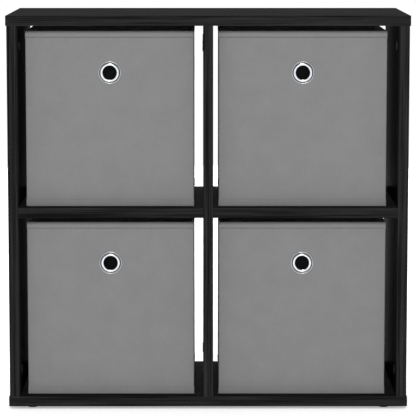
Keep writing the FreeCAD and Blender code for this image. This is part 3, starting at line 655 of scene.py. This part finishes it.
def make_wall(name, place, width, height, half, seed, materials, face, crease=None, eyelet=None):
    """One wall's fabric with its stitches, closed round the board inside."""
    outer = wall_relief(height, uneven(seed, 45 * MM, 150 * MM), face, crease, eyelet)
    inner = wall_relief(height, uneven(seed + 50, 45 * MM, 150 * MM), "inside", crease, eyelet)
    columns = []
    if crease is not None:
        columns.append((crease, 5.6 * MM, 0.4 * MM))
    rows = list(dense_rows(height))
    if eyelet:
        reach = eyelet[2] + 7 * MM
        columns.append((eyelet[0], reach, 1.4 * MM))
        rows.append((eyelet[1], reach, 1.4 * MM))
    across = grid_lines(width, 3.6 * MM, *columns)
    up = grid_lines(height, 4.6 * MM, *rows)
    shape = Shape()
    widen = None if face == "side" else flared(width, height)
    shape.add(*slab(across, up, half, outer, inner, widen, eyelet))
    sew_rows(shape, width, height, outer, inner, half, crease)
    return shape.make(name, materials, place)


def sew_front(name, seed, materials):
    """The front wall, with its hole under the eyelet and its two corner tapes."""
    bin_ = BinFrame(name)
    half = bin_.thickness / 2
    centre = (bin_.eyelet[0] + bin_.eyelet[1]) / 2
    place = Place((bin_.front[0].x, bin_.front[0].y + half, bin_.foot), (1, 0, 0), (0, 0, 1), (0, -1, 0))
    hole = (centre.x - bin_.front[0].x, centre.z - bin_.foot, EYELET_HOLE)
    wall = make_wall(bin_.piece("front_wall"), place, bin_.width, bin_.height, half, seed, materials, "front",
                     eyelet=hole)
    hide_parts(bin_.node("front_wall"))
    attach(wall, bin_.body)
    make_tapes(bin_, "front", materials[0])


def sew_back(name, seed, materials):
    """The back wall, which ends above the floor fabric's border, and its two corner tapes."""
    bin_ = BinFrame(name)
    half = bin_.thickness / 2
    height = bin_.back[1].z - bin_.skirt
    place = Place((bin_.back[1].x, bin_.back[1].y - half, bin_.skirt), (-1, 0, 0), (0, 0, 1), (0, 1, 0))
    wall = make_wall(bin_.piece("back_wall"), place, bin_.width, height, half, seed, materials, "back")
    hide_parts(bin_.node("back_wall"))
    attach(wall, bin_.node("back_wall"))
    make_tapes(bin_, "back", materials[0])


def sew_side(name, side, seed, materials):
    """A side wall in one flat piece of fabric, with a fold line pressed in between its two halves."""
    bin_ = BinFrame(name)
    front_half, rear_half = bin_.node(f"{side}_front_wall"), bin_.node(f"{side}_rear_wall")
    low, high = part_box(front_half)
    start, end = bin_.front[1].y + SIDE_GAP, bin_.back[0].y - SIDE_GAP
    half = (high.x - low.x) / 2
    width, height = end - start, high.z - bin_.skirt
    x = (low.x + high.x) / 2
    if side == "left":
        place = Place((x, end, bin_.skirt), (0, -1, 0), (0, 0, 1), (-1, 0, 0))
    else:
        place = Place((x, start, bin_.skirt), (0, 1, 0), (0, 0, 1), (1, 0, 0))
    wall = make_wall(bin_.piece(f"{side}_side_wall"), place, width, height, half, seed, materials, "side",
                     crease=width / 2)
    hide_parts(front_half, rear_half)
    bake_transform(wall)


def make_tapes(bin_, end, material):
    """Binding tapes down the inside of two corners, on the front or the back wall."""
    shape = Shape()
    height = bin_.height - unit("bins").hem_height - (bin_.skirt - bin_.foot) - 4 * MM
    field = uneven(7, 12 * MM, 40 * MM)

    def relief(across, up):
        return 0.06 * MM * field(across, up)

    up = grid_lines(height, 6 * MM)
    out = 1 if end == "front" else -1
    face = bin_.front[1].y if end == "front" else bin_.back[0].y
    for x in (bin_.front[0].x + bin_.thickness + TAPE_INSET,
              bin_.front[1].x - bin_.thickness - TAPE_INSET - TAPE_WIDTH):
        points, faces = slab(TAPE_LINES, up, TAPE_THICKNESS / 2, relief, relief)
        start = (x if out < 0 else x + TAPE_WIDTH, face + out * TAPE_THICKNESS / 2, bin_.skirt + 2 * MM)
        place = Place(start, (-out, 0, 0), (0, 0, 1), (0, out, 0))
        shape.add(place.points(points), faces)
    tapes = shape.make(bin_.piece(f"{end}_corner_tapes"), [material])
    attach(tapes, bin_.body if end == "front" else bin_.node("back_wall"))
    return tapes


def lay_floor(name, seed, material):
    """The floor fabric: one cut with its border turned up at the sides and the back."""
    bin_ = BinFrame(name)
    low, high = bin_.floor
    border = high.z - low.z - FLOOR_CLOTH / 2
    width, depth = high.x - low.x - FLOOR_CLOTH, high.y - low.y - FLOOR_CLOTH / 2
    field = uneven(seed, 30 * MM, 90 * MM)
    across = np.concatenate([-border + BORDER_LINES, grid_lines(width, 6 * MM),
                             width + border - BORDER_LINES[::-1]])
    along = np.concatenate([grid_lines(depth, 6 * MM), depth + border - BORDER_LINES[::-1]])
    u, v = np.meshgrid(across, along, indexing="ij")
    over_side = np.maximum(np.maximum(-u, u - width), 0)
    over_back = np.maximum(v - depth, 0)
    inside = np.minimum.reduce([u, width - u, v, depth - v]).clip(0, 20 * MM) / (20 * MM)
    rise = 0.12 * MM * (1 + field(u, v)) * inside
    points = np.stack([low.x + FLOOR_CLOTH / 2 + np.clip(u, 0, width), low.y + np.clip(v, 0, depth),
                       low.z + FLOOR_CLOTH / 2 + np.maximum(over_side, over_back) + rise], -1)
    points = points.reshape(-1, 3)
    number = np.arange(u.size).reshape(u.shape)
    quads = grid_quads(number)
    notch = ((over_side > 0) & (over_back > 0)).reshape(-1)
    quads = quads[~notch[quads].any(1)]
    used = np.unique(quads)
    renumber = np.zeros(len(points), int)
    renumber[used] = np.arange(len(used))
    shape = Shape()
    shape.add(points[used], renumber[quads])
    floor = shape.make(bin_.piece("floor_fabric"), [material])
    thicken = floor.modifiers.new("cloth", "SOLIDIFY")
    thicken.thickness = FLOOR_CLOTH
    thicken.offset = 0
    with bpy.context.temp_override(object=floor, active_object=floor, selected_objects=[floor]):
        bpy.ops.object.modifier_apply(modifier=thicken.name)
    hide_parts(bin_.node("floor_fabric"))
    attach(floor, bin_.body)


def wrap_base_board(name, seed, materials):
    """The loose base board, wrapped in fabric with a topstitched edge."""
    bin_ = BinFrame(name)
    node = bin_.node("base_board")
    low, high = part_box(node)
    width, depth, half = high.x - low.x, high.y - low.y, (high.z - low.z) / 2
    field = uneven(seed, 40 * MM, 140 * MM)

    def relief(across, up):
        edge = np.minimum.reduce([across, width - across, up, depth - up])
        slack = 0.05 * MM * field(across, up) * smooth_step(0, BOARD_SEAM, edge)
        return slack - 0.12 * MM * groove(edge - BOARD_SEAM, SEAM_HALF)

    def pull_corners(across, up):
        """Rounds the corners in plan, by moving points in towards the middle."""
        near = np.minimum(up, depth - up)
        short = BOARD_CORNER - np.clip(near, 0, BOARD_CORNER)
        inset = BOARD_CORNER - np.sqrt(np.clip(BOARD_CORNER ** 2 - short ** 2, 0, None))
        return -inset * (2 * across / width - 1)

    dense = (BOARD_SEAM, 1.5 * MM, 0.5 * MM)
    shape = Shape()
    shape.add(*slab(grid_lines(width, 5 * MM, dense, (width - BOARD_SEAM, 1.5 * MM, 0.5 * MM)),
                    grid_lines(depth, 5 * MM, dense, (depth - BOARD_SEAM, 1.5 * MM, 0.5 * MM)),
                    half, relief, relief, pull_corners))

    def level(across, up):
        return half + relief(across, up) - 0.1 * MM

    left, right, front, back = BOARD_SEAM, width - BOARD_SEAM, BOARD_SEAM, depth - BOARD_SEAM
    corners = [(left, front), (right, front), (right, back), (left, back)]
    for start, end in zip(corners, corners[1:] + corners[:1]):
        for side in (1, -1):
            stitches(shape, start, end, level, side)
    place = Place((low.x, low.y, low.z + half), (1, 0, 0), (0, 1, 0), (0, 0, 1))
    board = shape.make(bin_.piece("base_board"), materials, place)
    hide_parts(node)
    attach(board, node)


def eyelet_profile(thickness):
    """The eyelet's closed section: (radius, out) points of the rolled ring, the groove, the outer bead,
    the barrel and the clinched lip, with the material slot of the face that follows each point."""
    bore, barrel, lip = 10.9 * MM, 11.7 * MM, -thickness - 0.8 * MM
    parts = (
        (arc((13.0 * MM, -0.4 * MM), 2.1 * MM, 180, 15, 15), BRIGHT),
        ([(15.08 * MM, -0.2 * MM), (15.3 * MM, -0.85 * MM),
          (16.05 * MM, -0.85 * MM), (16.15 * MM, -0.2 * MM)], PAINTED_SHADE),
        (arc((17.1 * MM, -0.3 * MM), 0.72 * MM, 165, 10, 9), SATIN),
        ([(17.9 * MM, -0.35 * MM), (barrel + 0.5 * MM, -0.9 * MM),
          (barrel, -1.1 * MM), (barrel, lip)], SATIN),
        (arc((13.1 * MM, lip - 0.17 * MM), 0.17 * MM, 90, -90, 5), BRIGHT),
        ([(12.0 * MM, lip - 0.38 * MM), (11.2 * MM, lip - 0.2 * MM), (bore, lip + 0.3 * MM)], BRIGHT),
    )
    points = [point for part, slot in parts for point in part]
    slots = [slot for part, slot in parts for point in part]
    slots[RING_END] = PAINTED_SHADE
    return points, slots


def set_eyelet(name, metals, steel):
    """The eyelet through a bin's front wall, and the washer that it is clinched over."""
    bin_ = BinFrame(name)
    centre = (bin_.eyelet[0] + bin_.eyelet[1]) / 2
    place = Place((centre.x, bin_.front[0].y, centre.z), (1, 0, 0), (0, 0, 1), (0, -1, 0))
    ring = Shape()
    profile, slots = eyelet_profile(bin_.thickness)
    lathe(ring, profile, EYELET_SEGMENTS, slots)
    eyelet = ring.make(bin_.piece("eyelet", "turned"), metals, place)
    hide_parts(bin_.node("eyelet"))
    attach(eyelet, bin_.body)
    level = -bin_.thickness - 0.4 * MM
    rim = arc((16.1 * MM, level), 0.33 * MM, 90, -90, 7)
    neck = arc((12.15 * MM, level), 0.33 * MM, 270, 90, 7)
    disc = Shape()
    lathe(disc, rim + neck, EYELET_SEGMENTS)
    washer = disc.make(bin_.piece("eyelet_washer", "turned"), [steel], place)
    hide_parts(bin_.node("eyelet_washer"))
    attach(washer, bin_.body)


# ---- Settings ----


def color_setting(name, description, default):
    return FloatVectorProperty(name=name, description=description, subtype="COLOR", default=default,
                               min=0, max=1)


def share_setting(name, description, default):
    return FloatProperty(name=name, description=description, subtype="FACTOR", default=default,
                         min=0, max=1)


def light_setting(name, description, default, measure="NONE"):
    return FloatProperty(name=name, description=description, unit=measure, default=default, min=0)


def length_setting(name, description, default, low, high):
    return FloatProperty(name=name, description=description, unit="LENGTH", default=default,
                         min=low, max=high)


class CubeUnitBoards(PropertyGroup):
    """The cabinet boards' colours and gloss."""

    grain_dark: color_setting("Grain dark", "Darkest colour of the printed grain", (0.0035, 0.0035, 0.0036))
    grain_light: color_setting("Grain light", "Lightest colour of the printed grain",
                               (0.0200, 0.0199, 0.0199))
    lacquer_standing: share_setting("Lacquer, upright", "Shine of the upright boards' lacquer", 0.06)
    lacquer_lying: share_setting("Lacquer, lying", "Shine of the lying boards' lacquer", 0.029)
    lacquer_roughness: share_setting("Lacquer roughness", "Roughness of the satin lacquer", 0.30)
    plastic: color_setting("Plastic", "Colour of the cover caps and glides", (0.012, 0.012, 0.012))


class CubeUnitBins(PropertyGroup):
    """The fabric bins' colours and sewing."""

    fabric: color_setting("Fabric", "Colour of the bins' non-woven fabric", (0.161, 0.161, 0.161))
    thread: color_setting("Thread", "Colour of the sewing thread", (0.15, 0.15, 0.15))
    metal: color_setting("Metal", "Colour of the eyelets' plating", (0.80, 0.825, 0.855))
    hem_height: length_setting("Hem", "Height of the doubled hem at a bin's rim",
                               10.2 * MM, 4 * MM, 30 * MM)
    stitch_pitch: length_setting("Stitch pitch", "From one stitch to the next",
                                 3.3 * MM, 1.5 * MM, 8 * MM)
    stitch_length: length_setting("Stitch length", "Length of the thread that shows in a stitch",
                                  2.6 * MM, 1 * MM, 7 * MM)


class CubeUnitStage(PropertyGroup):
    """The floor, the light and the camera."""

    floor: color_setting("Floor", "Colour of the floor", (0.90, 0.90, 0.90))
    floor_glow: light_setting("Floor glow", "Light that the floor gives off, like a lit table", 0.40)
    horizon: light_setting("Horizon", "Brightness of the room near the horizon", 1.02)
    zenith: light_setting("Zenith", "Brightness of the room overhead", 0.25)
    key: light_setting("Key", "Power of the light in front and above", 1745.0, "POWER")
    back: light_setting("Back", "Power of the wide light behind", 90.0, "POWER")
    fill: light_setting("Fill", "Power of the weak light beside the camera", 6.5, "POWER")
    distance: FloatProperty(name="Camera distance", description="From the unit's front to the camera",
                            unit="LENGTH", default=3.716, min=0.5)
    height: FloatProperty(name="Camera height", description="Camera above the unit's top", unit="LENGTH",
                          default=0.164)
    lens: FloatProperty(name="Lens", description="Focal length in millimetres", default=204.6, min=10)


# ---- Operators ----


class CUBE_UNIT_OT_finish_boards(Operator):
    """Give the boards and their edge banding black woodgrain"""

    bl_idname = "cube_unit.finish_boards"
    bl_label = "Finish boards"

    def execute(self, context):
        for names, axis, word in ((LYING_BOARDS, "X", "lying"), (STANDING_BOARDS, "Z", "standing")):
            give(black_woodgrain(f"black_woodgrain_{word}", axis), *names)
            banding = black_woodgrain(f"black_banding_{word}", axis, banding=True)
            give(banding, *[name + "_edge_banding" for name in names])
        return {"FINISHED"}


class CUBE_UNIT_OT_finish_hardware(Operator):
    """Give the fasteners, cover caps, dowels and glides their materials"""

    bl_idname = "cube_unit.finish_hardware"
    bl_label = "Finish hardware"

    def execute(self, context):
        plastic = unit("boards").plastic
        zinc = metal_material("zinc_plate", (0.55, 0.56, 0.58), 0.32, 900.0)
        give(zinc, "cam_bolts", "cam_locks", "glide_nails")
        give(plastic_material("black_cap_plastic", plastic, 0.45), "cam_cover_caps")
        give(plastic_material("glide_plastic", plastic, 0.55), "floor_glides")
        give(beech_material("bare_beech"), "wooden_dowels")
        return {"FINISHED"}


class CUBE_UNIT_OT_sew_bins(Operator):
    """Sew the front, back and side walls of all four bins, with their hems, seams and corner tapes"""

    bl_idname = "cube_unit.sew_bins"
    bl_label = "Sew bin walls"

    def execute(self, context):
        bins = unit("bins")
        fabric = fabric_material("grey_non_woven", "upright", bins.fabric, 0)
        materials = [fabric, thread_material("grey_thread", bins.thread)]
        for number, name in enumerate(BINS):
            seed = 100 * (number + 1)
            sew_front(name, seed, materials)
            sew_back(name, seed + 1, materials)
            sew_side(name, "left", seed + 2, materials)
            sew_side(name, "right", seed + 3, materials)
        return {"FINISHED"}


class CUBE_UNIT_OT_lay_floors(Operator):
    """Lay each bin's floor fabric and its wrapped base board"""

    bl_idname = "cube_unit.lay_floors"
    bl_label = "Lay bin floors"

    def execute(self, context):
        bins = unit("bins")
        fabric = fabric_material("grey_non_woven_flat", "flat", bins.fabric, 3)
        materials = [fabric, bpy.data.materials["grey_thread"]]
        for number, name in enumerate(BINS):
            lay_floor(name, 500 + number, fabric)
            wrap_base_board(name, 600 + number, materials)
        return {"FINISHED"}


class CUBE_UNIT_OT_set_eyelets(Operator):
    """Clinch an eyelet and its washer into each bin's front"""

    bl_idname = "cube_unit.set_eyelets"
    bl_label = "Set eyelets"

    def execute(self, context):
        metal = unit("bins").metal
        # The second of these, for the groove, is the plating at 9 per cent of its colour: painted shade in
        # the groove.
        metals = [metal_material("bright_nickel", metal, 0.20, 1400.0),
                  metal_material("groove_nickel_painted_shade", times(metal, 0.09), 0.5, 1400.0),
                  metal_material("satin_nickel", times(metal, 0.62), 0.34, 1400.0)]
        steel = metal_material("washer_steel", (0.58, 0.58, 0.60), 0.34, 1000.0)
        for name in BINS:
            set_eyelet(name, metals, steel)
        return {"FINISHED"}


class CUBE_UNIT_OT_set_stage(Operator):
    """Lay the pale floor, hang the soft lights and set up the camera"""

    bl_idname = "cube_unit.set_stage"
    bl_label = "Set stage"

    def execute(self, context):
        stage = unit("stage")
        make_floor(stage)
        make_sky(stage)
        make_lights(stage)
        make_camera(stage)
        return {"FINISHED"}


def make_floor(stage):
    """A round pale floor that glows a little."""
    tree = Tree("pale_floor")
    cloud = tree.noise(tree.scaled(), 1.5, detail=2.0)
    shade = tree.blend(tree.span(cloud, 0.3, 0.7), stage.floor, times(stage.floor, 0.985))
    material = tree.finish(shade, tree.span(cloud, 0.3, 0.7, 0.80, 0.88), Specular_IOR_Level=0.2,
                           Emission_Color=(1, 1, 1, 1), Emission_Strength=stage.floor_glow)
    shape = Shape()
    turns = [math.tau * step / FLOOR_SIDES for step in range(FLOOR_SIDES)]
    shape.add([(FLOOR_RADIUS * math.cos(turn), FLOOR_RADIUS * math.sin(turn), 0) for turn in turns],
              [tuple(range(FLOOR_SIDES))])
    shape.make("studio_floor", [material])


def make_sky(stage):
    """A white room that is brightest round the horizon and dim overhead."""
    world = bpy.data.worlds.new("soft_studio")
    world.use_nodes = True
    nodes, links = world.node_tree.nodes, world.node_tree.links
    split = nodes.new("ShaderNodeSeparateXYZ")
    links.new(nodes.new("ShaderNodeTexCoord").outputs["Generated"], split.inputs[0])
    fade = nodes.new("ShaderNodeMapRange")
    fade.interpolation_type = "SMOOTHSTEP"
    for socket, value in (("From Min", 0.25), ("From Max", 0.72),
                          ("To Min", stage.horizon), ("To Max", stage.zenith)):
        fade.inputs[socket].default_value = value
    links.new(split.outputs["Z"], fade.inputs["Value"])
    background = nodes["Background"]
    background.inputs["Color"].default_value = (1, 1, 1, 1)
    links.new(fade.outputs["Result"], background.inputs["Strength"])
    bpy.context.scene.world = world


def add_softbox(name, power, size, location, target):
    """A rectangular light that faces target and that the camera doesn't see."""
    light = bpy.data.lights.new(name, "AREA")
    light.shape = "RECTANGLE"
    light.size, light.size_y = size
    light.energy = power
    lamp = bpy.data.objects.new(name, light)
    lamp.location = location
    lamp.rotation_euler = (Vector(target) - Vector(location)).to_track_quat("-Z", "Y").to_euler()
    lamp.visible_camera = False
    bpy.context.scene.collection.objects.link(lamp)
    return lamp


def make_lights(stage):
    low, high = CAD_BOX
    middle = (low + high) / 2
    add_softbox("key_softbox", stage.key, KEY_SIZE, KEY_PLACE, middle)
    add_softbox("back_softbox", stage.back, BACK_SIZE, BACK_PLACE, BACK_AIM)
    beside_camera = (0.0, low.y - stage.distance, high.z + stage.height + FILL_RISE)
    fill = add_softbox("fill_softbox", stage.fill, FILL_SIZE, beside_camera, middle)
    fill.visible_glossy = False


def make_camera(stage):
    """A long lens in front of the unit and a little above it, tilted down."""
    low, high = CAD_BOX
    camera = bpy.data.cameras.new("front_camera")
    camera.lens = stage.lens
    camera.sensor_width = 36.0
    camera.clip_end = 100.0
    holder = bpy.data.objects.new("front_camera", camera)
    holder.location = (CAMERA_X, low.y - stage.distance, high.z + stage.height)
    aim = Vector((AIM_X, low.y, low.z + AIM_HEIGHT))
    holder.rotation_euler = (aim - holder.location).to_track_quat("-Z", "Y").to_euler()
    bpy.context.scene.collection.objects.link(holder)
    bpy.context.scene.camera = holder
    bpy.context.scene.view_settings.view_transform = "Standard"


class CUBE_UNIT_PT_pieces(Panel):
    """Lists the operators and their settings in the sidebar"""

    bl_label = "Cube Unit"
    bl_space_type = "VIEW_3D"
    bl_region_type = "UI"
    bl_category = "Cube Unit"

    def draw(self, context):
        for kind, group, operators in SECTIONS:
            box = self.layout.box()
            for name in group.__annotations__:
                box.prop(unit(kind), name)
            for operator in operators:
                box.operator(operator.bl_idname)


SECTIONS = (
    ("boards", CubeUnitBoards, (CUBE_UNIT_OT_finish_boards, CUBE_UNIT_OT_finish_hardware)),
    ("bins", CubeUnitBins, (CUBE_UNIT_OT_sew_bins, CUBE_UNIT_OT_lay_floors, CUBE_UNIT_OT_set_eyelets)),
    ("stage", CubeUnitStage, (CUBE_UNIT_OT_set_stage,)),
)


def register():
    for kind, group, operators in SECTIONS:
        bpy.utils.register_class(group)
        setattr(bpy.types.Scene, "cube_unit_" + kind, PointerProperty(type=group))
        for operator in operators:
            bpy.utils.register_class(operator)
    bpy.utils.register_class(CUBE_UNIT_PT_pieces)


def unregister():
    bpy.utils.unregister_class(CUBE_UNIT_PT_pieces)
    for kind, group, operators in reversed(SECTIONS):
        for operator in reversed(operators):
            bpy.utils.unregister_class(operator)
        delattr(bpy.types.Scene, "cube_unit_" + kind)
        bpy.utils.unregister_class(group)


def main():
    register()
    bpy.ops.cube_unit.finish_boards()
    bpy.ops.cube_unit.finish_hardware()
    bpy.ops.cube_unit.sew_bins()
    bpy.ops.cube_unit.lay_floors()
    bpy.ops.cube_unit.set_eyelets()
    bpy.ops.cube_unit.set_stage()


if __name__ == "__main__":
    main()
